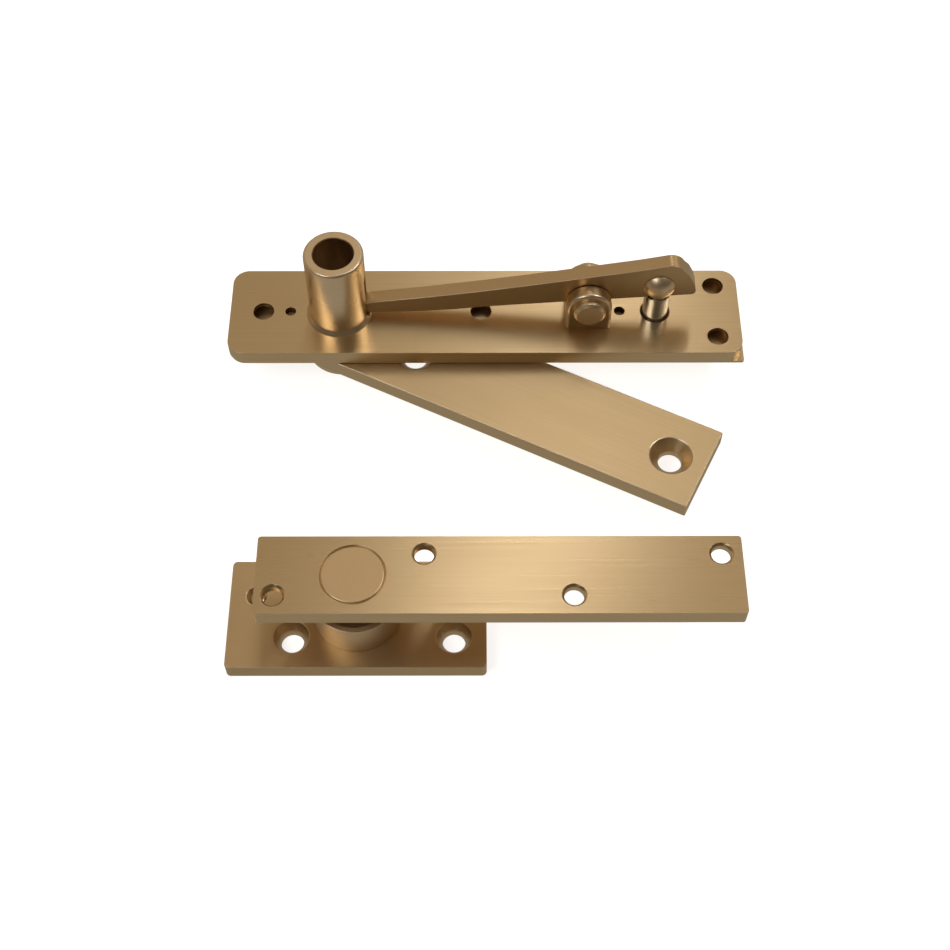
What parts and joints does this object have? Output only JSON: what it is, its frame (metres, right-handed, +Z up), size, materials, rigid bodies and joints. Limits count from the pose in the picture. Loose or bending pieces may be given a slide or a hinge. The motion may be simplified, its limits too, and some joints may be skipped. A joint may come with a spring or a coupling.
{
  "type": "centre-hung door pivot set",
  "caption": "Satin brass centre-hung door pivot set: a walking-beam top pivot with its door plate, and a ball-bearing bottom pivot with its floor plate and arm.",
  "frame": {"origin": "centre of the set's footprint, on the surface it lies on", "axes": "+X along the frame plate and the arm, +Z up along both pivot axes, +Y from the bottom pivot towards the top pivot"},
  "size_m": [0.14, 0.1162, 0.0398],
  "materials": {
    "satin_brass": "satin, fine brushed grain along each plate",
    "polished_brass": "turned and lightly polished",
    "bronze": "plain sintered bronze",
    "bright_steel": "bright zinc-plated",
    "bronzed_steel": "bronzed dark brown",
    "seal_rubber": "matt brown"
  },
  "bodies": {
    "base": {"frame_plate": "satin_brass", "cover_plate": "satin_brass", "cover_screws": "bronzed_steel", "pin_barrel": "satin_brass", "fulcrum_bracket": "satin_brass", "fulcrum_pin": "satin_brass", "floor_plate": "satin_brass", "bearing_cup": "satin_brass", "journal_bush": "bronze", "lower_race": "bright_steel", "dust_seal": "seal_rubber"},
    "door_half": {"door_plate": "satin_brass", "socket_boss": "satin_brass", "door_bush": "bronze"},
    "pin": {"pivot_pin": "bright_steel"},
    "beam": {"lever": "satin_brass"},
    "cap": {"ball_cap": "polished_brass"},
    "screw": {"adjusting_screw": "bright_steel"},
    "cage": {"bearing_balls": "bright_steel", "ball_cage": "bronze"},
    "arm_half": {"arm": "satin_brass", "spindle": "satin_brass", "upper_race": "bright_steel", "retaining_clip": "bright_steel"}
  },
  "joints": [
    {"name": "door_swing", "type": "hinge", "parent": "base", "child": "door_half", "pos_m": [-0.0401, 0.0438, 0.008], "axis": [0, 0, 1], "range_deg": [-38, 206]},
    {"name": "lever_rock", "type": "hinge", "parent": "base", "child": "beam", "pos_m": [0.02765, 0.0438, 0.0233], "axis": [0, 1, 0], "range_deg": [0, 7]},
    {"name": "pin_slide", "type": "slide", "parent": "base", "child": "pin", "axis": [0, 0, 1], "range_m": [0, 0.0084]},
    {"name": "cap_slide", "type": "slide", "parent": "base", "child": "cap", "axis": [0, 0, 1], "range_m": [-0.0024, 0]},
    {"name": "screw_turn", "type": "hinge", "parent": "cap", "child": "screw", "pos_m": [0.0462, 0.0438, 0.02], "axis": [0, 0, 1], "range_deg": [-655, 0]},
    {"name": "arm_swing", "type": "hinge", "parent": "base", "child": "arm_half", "pos_m": [-0.0325, -0.0429, 0.01], "axis": [0, 0, 1], "range_deg": [-180, 55]},
    {"name": "cage_turn", "type": "hinge", "parent": "base", "child": "cage", "pos_m": [-0.0325, -0.0429, 0.01], "axis": [0, 0, 1], "range_deg": [-91, 28]}
  ],
  "couplings": [
    {"joint": "pin_slide", "follows": "lever_rock", "m_per_rad": 0.06785},
    {"joint": "cap_slide", "follows": "lever_rock", "m_per_rad": -0.018815},
    {"joint": "screw_turn", "follows": "lever_rock", "ratio": -93.085},
    {"joint": "cage_turn", "follows": "arm_swing", "ratio": 0.5}
  ]
}
